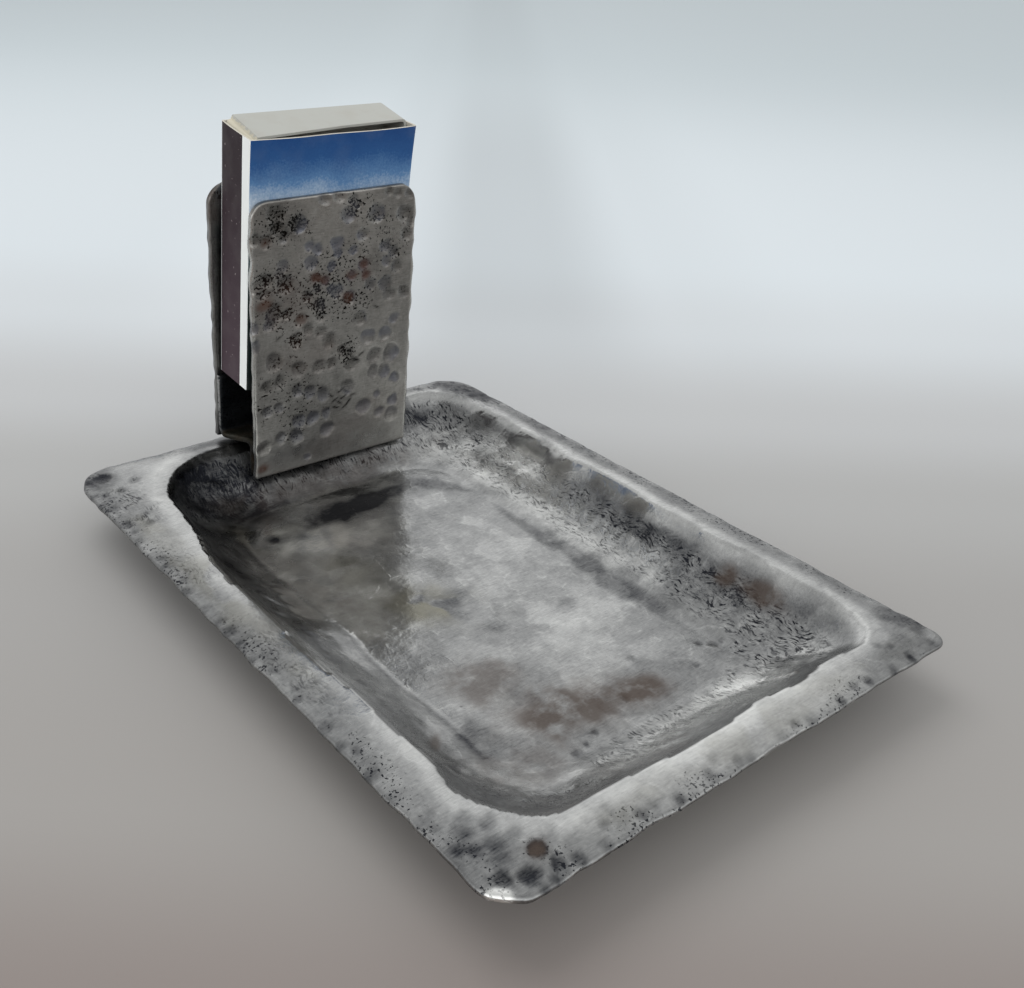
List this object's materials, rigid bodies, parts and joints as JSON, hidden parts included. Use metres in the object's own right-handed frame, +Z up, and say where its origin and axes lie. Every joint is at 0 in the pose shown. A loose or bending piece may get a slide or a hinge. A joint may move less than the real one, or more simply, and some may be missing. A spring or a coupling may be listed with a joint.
{
  "type": "ashtray with match holder",
  "caption": "Rectangular hammered iron ashtray with a sunk bowl and an upright two-plate holder on its rim that carries a matchbox with a sliding drawer.",
  "frame": {"origin": "on the surface that the tray stands on, under the middle of the whole object's box", "axes": "+X along the tray's short side, +Y along its long side towards the holder, +Z up"},
  "size_m": [0.095, 0.134, 0.0771],
  "materials": {
    "burnished_iron": "hammered and burnished, waxed",
    "dark_iron": "hammered, dark scale left on",
    "front_iron": "hammered with round dimples, pitted",
    "scaled_iron": "bent strip with scale and light rust",
    "label_card": "printed card, matt",
    "plain_card": "grey-white card, matt",
    "match_wood": "split aspen with a dipped head"
  },
  "bodies": {
    "ashtray": {"tray": "burnished_iron", "holder_foot": "scaled_iron", "holder_back_plate": "dark_iron", "holder_front_plate": "front_iron"},
    "matchbox": {"matchbox_sleeve": "label_card"},
    "drawer": {"matchbox_drawer": "plain_card", "match_01": "match_wood", "match_02": "match_wood", "match_03": "match_wood", "match_04": "match_wood", "match_05": "match_wood", "match_06": "match_wood", "match_07": "match_wood", "match_08": "match_wood", "match_09": "match_wood", "match_10": "match_wood", "match_11": "match_wood", "match_12": "match_wood", "match_13": "match_wood", "match_14": "match_wood", "match_15": "match_wood", "match_16": "match_wood", "match_17": "match_wood", "match_18": "match_wood"}
  },
  "joints": [
    {"name": "matchbox_lift", "type": "slide", "parent": "ashtray", "child": "matchbox", "axis": [0.0349, -0.0828, 0.996], "range_m": [0, 0.05]},
    {"name": "drawer_slide", "type": "slide", "parent": "matchbox", "child": "drawer", "axis": [0.0349, -0.0828, 0.996], "range_m": [0, 0.04]}
  ]
}
